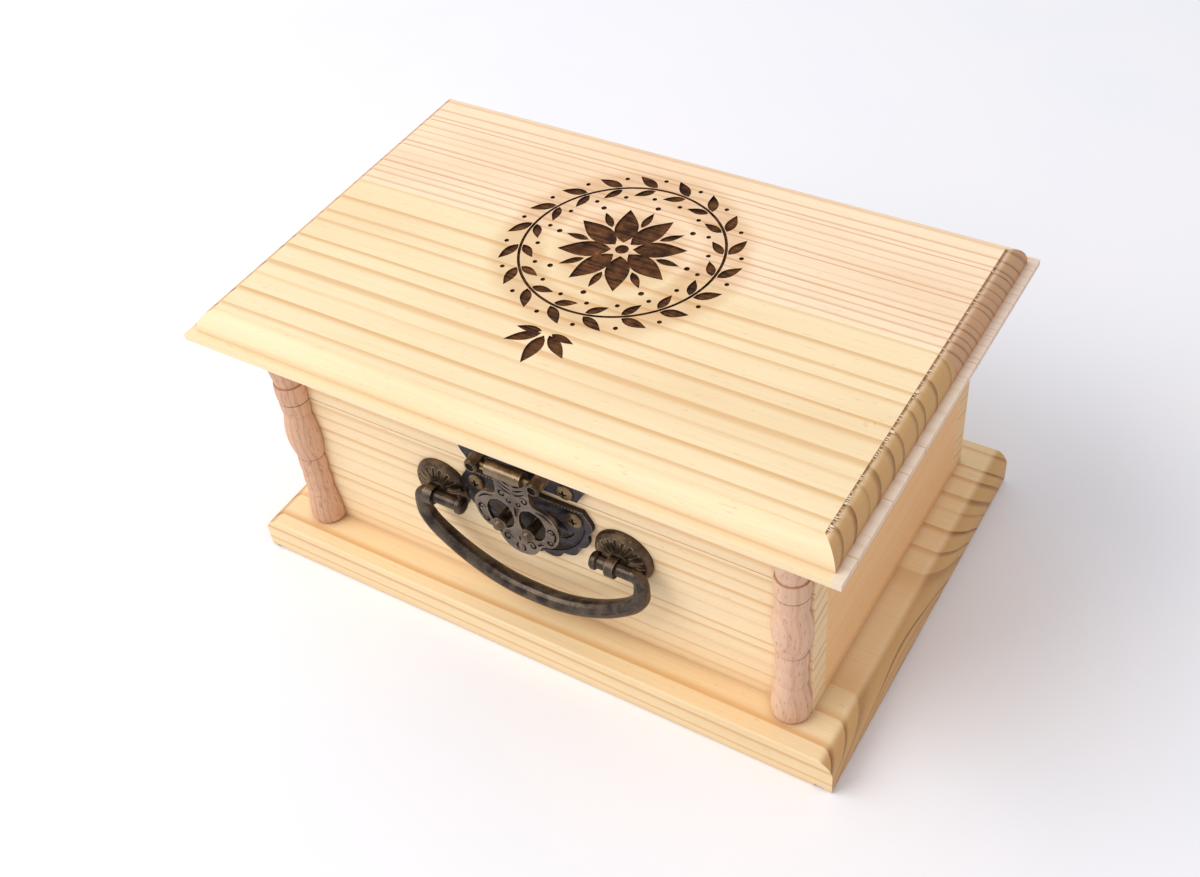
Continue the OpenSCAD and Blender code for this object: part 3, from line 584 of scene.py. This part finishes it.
def smooth_by_angle(mesh, degrees):
    """Round faces shade smoothly and sharp edges stay sharp."""
    mesh.polygons.foreach_set("use_smooth", [True] * len(mesh.polygons))
    mesh.set_sharp_from_angle(angle=math.radians(degrees))


def on_circle(centre, radius, angle):
    """The point of a circle at an angle in radians."""
    return (centre[0] + radius * math.cos(angle), centre[1] + radius * math.sin(angle))


def bead_radius(radius, share):
    """A bead's radius at a share of its length: full in its middle and about half at its ends."""
    inside = min(max(share, 0.06), 0.94)
    return radius * (0.35 + 0.65 * math.sin(math.pi * inside))


def tube_along(points, radius, sides):
    """Vertices and faces of a round bead along points, in millimetres, tapered to its ends."""
    verts, faces = [], []
    count = len(points)
    for i, point in enumerate(points):
        before = points[max(i - 1, 0)]
        after = points[min(i + 1, count - 1)]
        tangent = (Vector(after) - Vector(before)).normalized()
        side = tangent.cross(Vector((0, 1, 0)))
        side = side.normalized() if side.length > 1e-6 else Vector((1, 0, 0))
        up = side.cross(tangent).normalized()
        around = bead_radius(radius, i / max(count - 1, 1))
        for k in range(sides):
            a = math.tau * k / sides
            verts.append(Vector(point) + side * (around * math.cos(a)) + up * (around * math.sin(a)))
    for i in range(count - 1):
        j = i + 1
        for k in range(sides):
            m = (k + 1) % sides
            faces.append((i * sides + k, i * sides + m, j * sides + m, j * sides + k))
    faces.append(tuple(range(sides - 1, -1, -1)))
    faces.append(tuple((count - 1) * sides + k for k in range(sides)))
    return verts, faces


def beads_mesh(name, lines, radius, sides):
    """One mesh of round beads along several lines of points."""
    bm = bmesh.new()
    for points in lines:
        verts, faces = tube_along(points, radius, sides)
        corners = [bm.verts.new(vert * MM) for vert in verts]
        for face in faces:
            bm.faces.new([corners[i] for i in face])
    return mesh_from(bm, name)


def beads(name, lines, body, material, radius, sides):
    """One piece made of raised beads along several lines of points."""
    mesh = beads_mesh(name, lines, radius, sides)
    smooth_by_angle(mesh, 60)
    add_materials(mesh, [material])
    piece = linked(name, mesh)
    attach(piece, body)


# The burnt carving in the lid


def leaf_shape(root, angle, length, width, steps=7):
    """A pointed leaf, widest a little nearer its root, as points in millimetres."""
    points = []
    for side in (1, -1):
        order = range(steps) if side > 0 else range(steps, 0, -1)
        for i in order:
            t = i / steps
            half = width / 2 * math.sin(math.pi * t ** 0.8)
            points.append((t * length, side * half))
    c, s = math.cos(angle), math.sin(angle)
    return [(root[0] + c * u - s * v, root[1] + s * u + c * v) for u, v in points]


def disc_shape(centre, radius, steps=14):
    """A round spot, as points in millimetres."""
    return [on_circle(centre, radius, math.tau * i / steps) for i in range(steps)]


def wreath_shapes():
    """Pairs of leaves along the stem, with a berry on both sides of it between two pairs."""
    shapes = []
    step = math.tau / LEAF_PAIRS
    for i in range(LEAF_PAIRS):
        a = i * step
        for side, length, width in LEAF_PAIR:
            root = on_circle(WREATH_CENTRE, WREATH_R + side * LEAF_ROOT, a)
            shapes.append(leaf_shape(root, a + math.pi / 2 - side * LEAF_LEAN, length, width))
        between = a + step * 0.5 - step * BERRY_BACK
        for side in (1, -1):
            berry = on_circle(WREATH_CENTRE, WREATH_R + side * BERRY_OFF, between)
            shapes.append(disc_shape(berry, BERRY_R))
    return shapes


def flower_shapes():
    """The flower's petals, the thin ones between them with their seeds, and its heart."""
    shapes = []
    for i in range(PETALS):
        a = math.tau * i / PETALS + math.pi / PETALS
        start, length, width = PETAL
        shapes.append(leaf_shape(on_circle(WREATH_CENTRE, start, a), a, length, width, 9))
        a += math.pi / PETALS
        start, length, width = THIN_PETAL
        shapes.append(leaf_shape(on_circle(WREATH_CENTRE, start, a), a, length, width, 6))
        shapes.append(disc_shape(on_circle(WREATH_CENTRE, SEED_AT, a), SEED_R))
    shapes.append(disc_shape(WREATH_CENTRE, FLOWER_HEART_R, 20))
    return shapes


def sprig_shapes():
    """The small sprig of leaves below the wreath."""
    shapes = []
    middle = (WREATH_CENTRE[0], WREATH_CENTRE[1] - WREATH_R - SPRIG_BELOW)
    for turn, length, width in SPRIG:
        a = math.radians(turn)
        shapes.append(leaf_shape(on_circle(middle, SPRIG_ROOT, a), a, length, width))
    return shapes


def stem_cutter(bm, low, high, steps=128):
    """Adds a flat ring that stands through the lid's surface, to cut the wreath's stem."""
    loops = []
    for radius, z in ((WREATH_R - STEM_W / 2, low), (WREATH_R + STEM_W / 2, low),
                      (WREATH_R + STEM_W / 2, high), (WREATH_R - STEM_W / 2, high)):
        loop = []
        for i in range(steps):
            x, y = on_circle(WREATH_CENTRE, radius, math.tau * i / steps)
            loop.append(bm.verts.new((x * MM, y * MM, z * MM)))
        loops.append(loop)
    for k in range(4):
        a, b = loops[k], loops[(k + 1) % 4]
        for i in range(steps):
            j = (i + 1) % steps
            bm.faces.new((a[i], a[j], b[j], b[i]))


def carving_cutter(top_mm):
    """One mesh of upright prisms that cut the carving CARVE_DEPTH deep."""
    bm = bmesh.new()
    low, high = top_mm - CARVE_DEPTH, top_mm + CUTTER_ABOVE
    for outline in wreath_shapes() + flower_shapes() + sprig_shapes():
        bottom = [bm.verts.new((x * MM, y * MM, low * MM)) for x, y in outline]
        upper = [bm.verts.new((x * MM, y * MM, high * MM)) for x, y in outline]
        bm.faces.new(bottom)
        bm.faces.new(upper)
        for i in range(len(outline)):
            j = (i + 1) % len(outline)
            bm.faces.new((bottom[i], bottom[j], upper[j], upper[i]))
    stem_cutter(bm, low, high)
    return mesh_from(bm, "carving_cutter")


def wear_moulding(mesh, under, top):
    """Raises the moulding's round until only a thin quirk stands above it."""
    ledge = under + LID_EDGE_H * MM
    stretch = (top - QUIRK * MM - ledge) / (LID_ROUND * MM)
    for vertex in mesh.vertices:
        if ledge < vertex.co.z < ledge + (LID_ROUND + HAIR) * MM:
            vertex.co.z = ledge + (vertex.co.z - ledge) * stretch


def keep_arrises_sharp(mesh):
    """Marks the edges where the board's level faces, ends and long sides meet."""
    sides = {}
    for face in mesh.polygons:
        flat, along, across = (abs(part) for part in (face.normal.z, face.normal.x, face.normal.y))
        side = "level" if flat > 0.999 else "end" if along > across else "long"
        for key in face.edge_keys:
            sides.setdefault(key, set()).add(side)
    for edge in mesh.edges:
        if len(sides[edge.key]) > 1:
            edge.use_edge_sharp = True


def carved_lid(top_material, burnt_material):
    """The lid board with its worn moulding and the burnt wreath. It stands for the plain CAD board."""
    under, top = (corner[2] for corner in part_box("lid_board"))
    mesh = welded_copy(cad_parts["lid_board"], "lid_board_carved")
    wear_moulding(mesh, under, top)
    materials = (top_material, burnt_material)
    add_materials(mesh, materials)
    lid = cut_away(mesh, carving_cutter(top / MM), materials)
    smooth_by_angle(lid.data, 45)
    keep_arrises_sharp(lid.data)
    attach(lid, "lid")
    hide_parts("lid_board")


def splinters(material):
    """Torn fibres that hang over the end-grain edge of the lid's top."""
    lo, hi = (Vector(corner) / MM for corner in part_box("lid_board"))
    edge = hi[0] - ARRIS_IN
    span = hi[1] - lo[1] - SPLINTERS_FROM_FRONT - SPLINTERS_FROM_BACK
    dice = random.Random(7)
    lines = []
    for _ in range(SPLINTERS):
        y = lo[1] + SPLINTERS_FROM_FRONT + span * dice.random() ** 1.3
        long = dice.uniform(0.5, 1.5)
        drop = dice.uniform(0.05, 0.5)
        sway = dice.uniform(-0.5, 0.5)
        z = hi[2] - SPLINTER_R - HAIR
        lines.append([(edge - 0.5, y, z), (edge + 0.4 * long, y + 0.4 * sway, z - 0.1),
                      (edge + long, y + sway, z - drop)])
    beads("lid_splinters", lines, "lid", material, SPLINTER_R, 5)


# Engraving on the latch


def bend(start, lean, end, steps=8):
    """Points of a curved stroke from start to end that leans towards a third point."""
    points = []
    for i in range(steps + 1):
        t = i / steps
        points.append(tuple((1 - t) ** 2 * start[k] + 2 * t * (1 - t) * lean[k] + t * t * end[k]
                            for k in (0, 1)))
    return points


def scroll(centre, r0, r1, a0, a1, steps=22):
    """Points of a scroll that opens from radius r0 to r1 while it turns from a0 to a1 degrees."""
    points = []
    for i in range(steps + 1):
        t = i / steps
        points.append(on_circle(centre, r0 + (r1 - r0) * t, math.radians(a0 + (a1 - a0) * t)))
    return points


def both_sides(strokes):
    """The strokes and their mirror images across the middle of the latch."""
    return strokes + [[(-x, z) for x, z in stroke] for stroke in strokes]


def engrave(name, strokes, origin, body, materials, width):
    """A copy of a CAD piece with grooves cut into its front along strokes. It stands for the CAD piece.

    origin is the point of the front face, in millimetres, that the strokes are drawn from. materials are
    those of the piece, of its grooves and of all that stands out in front of that face.
    """
    mesh = welded_copy(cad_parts[name], name + "_engraved")
    add_materials(mesh, materials)
    for face in mesh.polygons:
        face.material_index = 2 if face.center.y < (origin[1] - RELIEF) * MM else 0
    lines = [[(origin[0] + x, origin[1] - GROOVE_PROUD, origin[2] + z) for x, z in stroke]
             for stroke in strokes]
    piece = cut_away(mesh, beads_mesh(name + "_cutter", lines, width, 6), materials)
    smooth_by_angle(piece.data, 30)
    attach(piece, body)
    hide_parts(name)


def leaf_strokes():
    """Feathers on the leaf's neck and scrolls round its holes and on its chin, in mm from the hasp's axis."""
    return both_sides([
        bend((0.3, -4.8), (1.7, -4.7), (2.9, -3.4)),
        bend((0.3, -6.6), (2.0, -6.3), (3.9, -4.7)),
        bend((0.3, -8.4), (2.3, -8.0), (4.3, -6.2)),
        bend((0.4, -10.1), (2.5, -9.7), (4.4, -7.9)),
        scroll((3.7, -11.2), 0.35, 1.5, 90, 500),
        scroll((1.5, -13.4), 0.25, 1.0, 60, 430, 16),
        bend((7.4, -14.0), (10.8, -13.9), (12.7, -16.8)),
        scroll((12.2, -20.4), 0.3, 1.35, 180, 560),
        bend((13.4, -19.9), (13.6, -23.0), (12.4, -24.6)),
        scroll((11.0, -25.4), 0.3, 1.15, 40, 420),
        scroll((4.3, -30.1), 0.35, 1.7, 110, 540),
        bend((6.3, -29.2), (7.0, -28.2), (8.6, -27.6)),
        bend((0.5, -31.0), (2.2, -32.4), (0.9, -34.0))]) + [
        bend((0, -15.4), (0.1, -17.5), (0, -19.4)),
        bend((0, -27.4), (0.1, -28.6), (0, -29.8))]


def plate_strokes(half_w, height, up):
    """The border groove and two pointed fans of a latch plate, from the middle of its straight edge."""
    border = []
    for degrees in range(8, 173, 4):
        a = math.radians(degrees)
        rise = BORDER_EDGE + (height - BORDER_HEIGHT_LESS) * math.sin(a)
        border.append((half_w * math.cos(a), up * rise))
    fans = both_sides([
        bend((7.5, up * 6.0), (12.5, up * 6.8), (14.4, up * 10.6)),
        bend((16.6, up * 9.8), (15.4, up * 13.2), (10.8, up * 15.2))])
    return [border] + fans


def milling(middle, material):
    """Short raised ticks along the catch plate's straight edge."""
    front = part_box("front_panel")[0][1] / MM - PLATE_T
    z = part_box("catch_plate")[1][2] / MM - MILLING_IN
    ticks = []
    for i in range(-MILLING_EACH_SIDE, MILLING_EACH_SIDE + 1):
        x = middle + MILLING_PITCH * i
        ticks.append([(x - MILLING_HALF, front, z), (x, front, z), (x + MILLING_HALF, front, z)])
    beads("catch_plate_milling", ticks, "box", material, MILLING_R, 6)


def latch(plate_metal, leaf_metal, post_metal, groove, barrel_metal):
    """The engraved leaf and plates, and the milling on the catch plate."""
    lo, hi = (Vector(corner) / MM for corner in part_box("hasp_leaf"))
    middle = (lo[0] + hi[0]) / 2
    axis_z = hi[2] - (hi[1] - lo[1]) / 2
    engrave("hasp_leaf", leaf_strokes(), (middle, hi[1] - LEAF_T, axis_z), "hasp",
            (leaf_metal, groove, barrel_metal), LEAF_GROOVE)
    for name, up, body in (("catch_plate", -1, "box"), ("hasp_plate", 1, "lid")):
        lo, hi = (Vector(corner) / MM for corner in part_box(name))
        straight_edge = lo[2] if up > 0 else hi[2]
        strokes = plate_strokes((hi[0] - lo[0]) / 2 - BORDER_SIDE, hi[2] - lo[2], up)
        engrave(name, strokes, (middle, hi[1] - PLATE_T, straight_edge), body,
                (plate_metal, groove, post_metal), PLATE_GROOVE)
    milling(middle, barrel_metal)


# Studio


def lights():
    """A pale sky and one large soft lamp at the box's left."""
    scene = bpy.context.scene
    scene.world = bpy.data.worlds.new("studio")
    scene.world.use_nodes = True
    sky = scene.world.node_tree.nodes["Background"]
    sky.inputs["Color"].default_value = (0.93, 0.95, 1.0, 1.0)
    sky.inputs["Strength"].default_value = SKY
    scene.view_settings.view_transform = "Standard"

    data = bpy.data.lights.new("window", "AREA")
    data.shape = "RECTANGLE"
    data.size, data.size_y = LAMP_SIZE
    data.energy = LAMP_W
    data.color = (1.0, 0.985, 0.96)
    lamp = linked("window", data)
    lamp.location = LAMP_PLACE
    lamp.rotation_euler = (Vector(LAMP_AIM) - lamp.location).to_track_quat("-Z", "Y").to_euler()


def paper_floor():
    """A plain pale floor under the box."""
    mesh = bpy.data.meshes.new("floor")
    corners = [(x * FLOOR_HALF, y * FLOOR_HALF, 0) for x, y in ((-1, -1), (1, -1), (1, 1), (-1, 1))]
    mesh.from_pydata(corners, [], [(0, 1, 2, 3)])
    floor = linked("floor", mesh)
    material, nodes, shader = start_material("pale_paper")
    mottle = nodes.noise(nodes.add("ShaderNodeTexCoord").outputs["Object"], 12.0, 2.0)
    paper = nodes.mix(nodes.ramp(mottle, 0.3, 0.7), linear(244, 244, 248), linear(247, 245, 247))
    nodes.put(shader.inputs["Base Color"], paper)
    shader.inputs["Roughness"].default_value = 0.9
    shader.inputs["Specular IOR Level"].default_value = 0.1
    mesh.materials.append(material)


def camera():
    """The photograph's camera: its place and turn, with the small shift that its frame needs."""
    turn = Vector(CAMERA_TURN)
    to_camera = Matrix.Rotation(turn.length, 3, turn.normalized())
    right, down, forward = (Vector(to_camera[i]) for i in range(3))
    pose = Matrix((right, -down, -forward)).transposed().to_4x4()
    pose.translation = Vector(CAMERA_MM) * MM
    data = bpy.data.cameras.new("camera")
    data.sensor_fit = "HORIZONTAL"
    data.sensor_width = SENSOR_MM
    data.lens = FOCAL_PX * SENSOR_MM / PHOTO_W
    data.shift_x = (PHOTO_W / 2 - PRINCIPAL_PX[0]) / PHOTO_W
    data.shift_y = (PRINCIPAL_PX[1] - PHOTO_H / 2) / PHOTO_W
    data.clip_start, data.clip_end = 0.01, 20.0
    eye = linked("camera", data)
    eye.matrix_world = pose
    bpy.context.scene.camera = eye


# The box, piece by piece


def dress(names, material):
    """Gives CAD nodes their material."""
    for name in names:
        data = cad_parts[name].data
        data.materials.clear()
        data.materials.append(material)


def lid_top():
    """The lid's board, glued from two strips of pine, with its wreath and its torn edge."""
    pine_top = pine("lid_pine", (-157, 176), 6.3, wave_mm=0.9, pale_from=103.7,
                    second={"heart": (140, 160), "ring_mm": 2.9, "from_mm": 7.2}, burn=True,
                    dents=((92.6, -26.2, 1.5), (84.0, -24.4, 0.8), (94.2, -25.0, 0.7)))
    carved_lid(pine_top, burnt_wood())
    splinters(pine("torn_pine", (-100, 300), 5.0, early=linear(255, 240, 214), late=linear(240, 206, 160)))


def boards():
    """The base, the sides of box and lid, and the turned columns."""
    dress(["base_board"],
          pine("base_pine", (-18, -66), 4.6, wave_mm=1.0, shift=(0.5, 0.2, 0.1),
               early=linear(246, 219, 174), late=linear(219, 170, 110)))
    dress(["front_panel", "lid_front_rim"],
          pine("front_pine", (-20, -190), 5.4, wave_mm=1.6, shift=(0.9, 0.4, 0.2),
               early=linear(252, 226, 184), late=linear(230, 184, 126), cut=0.4))
    dress(["back_panel", "lid_back_rim"],
          pine("back_pine", (20, -120), 5.0, wave_mm=1.4, shift=(0.2, 0.7, 0.3), cut=0.3,
               early=linear(243, 204, 154)))
    dress(["left_panel", "lid_left_rim"],
          pine("left_pine", (-60, -150), 3.4, along="y", wave_mm=1.2, shift=(0.6, 0.3, 0.5)))
    dress(["right_panel", "lid_right_rim"],
          pine("right_pine", (160, -60), 3.8, along="y", wave_mm=1.2, shift=(0.1, 0.9, 0.2),
               early=linear(238, 188, 132), late=linear(228, 172, 114)))
    dress(["left_column", "right_column", "left_column_cap", "right_column_cap"], beech())


def hardware():
    """The handle, hinges, screws and latch, each in its own wear of one antique bronze."""
    bronze = aged_metal("antique_bronze", linear(62, 53, 48), linear(100, 87, 75), linear(196, 168, 128),
                        wear_mm=0.35, wear_amount=0.8, rough=0.36)
    rosette = aged_metal("rosette_bronze", linear(74, 60, 48), linear(112, 92, 72), linear(222, 188, 138),
                         wear_mm=0.45, wear_amount=0.9, rough=0.38, grime=0.5)
    slate = aged_metal("dark_plate", linear(58, 56, 60), linear(80, 76, 78), linear(196, 172, 134),
                       wear_mm=0.3, wear_amount=0.85, rough=0.4)
    worn = aged_metal("worn_leaf", linear(100, 89, 80), linear(134, 120, 108), linear(216, 186, 144),
                      wear_mm=0.4, wear_amount=0.9, rough=0.42, grime=0.6)
    groove = aged_metal("dark_groove", linear(26, 22, 21), linear(40, 34, 32), linear(60, 52, 46),
                        wear_mm=0.1, wear_amount=0.2, rough=0.6)
    post = aged_metal("post_bronze", linear(78, 64, 52), linear(112, 94, 76), linear(232, 204, 160),
                      wear_mm=0.4, wear_amount=0.95, rough=0.34)
    barrel = aged_metal("barrel_bronze", linear(122, 104, 82), linear(156, 134, 108), linear(226, 198, 156),
                        wear_mm=0.3, wear_amount=0.8, rough=0.33, grime=0.6)
    brass = aged_metal("dull_brass", linear(112, 92, 66), linear(148, 124, 90), linear(216, 188, 142),
                       wear_mm=0.25, wear_amount=0.8, rough=0.4)
    dress(["left_rosette", "right_rosette"], rosette)
    dress(["left_handle_post", "right_handle_post", "bail", "bail_knobs"], bronze)
    for side in ("left", "right"):
        dress([f"{side}_hinge_box_leaf", f"{side}_hinge_lid_leaf", f"{side}_hinge_pin"], bronze)
    dress(["catch_screws", "hasp_screws", "hasp_pin", "handle_screws"], brass)
    dress(["hinge_box_screws", "hinge_lid_screws"], brass)
    latch(slate, worn, post, groove, barrel)


def main():
    shared_groups()
    camera()
    lights()
    paper_floor()
    lid_top()
    boards()
    hardware()


main()
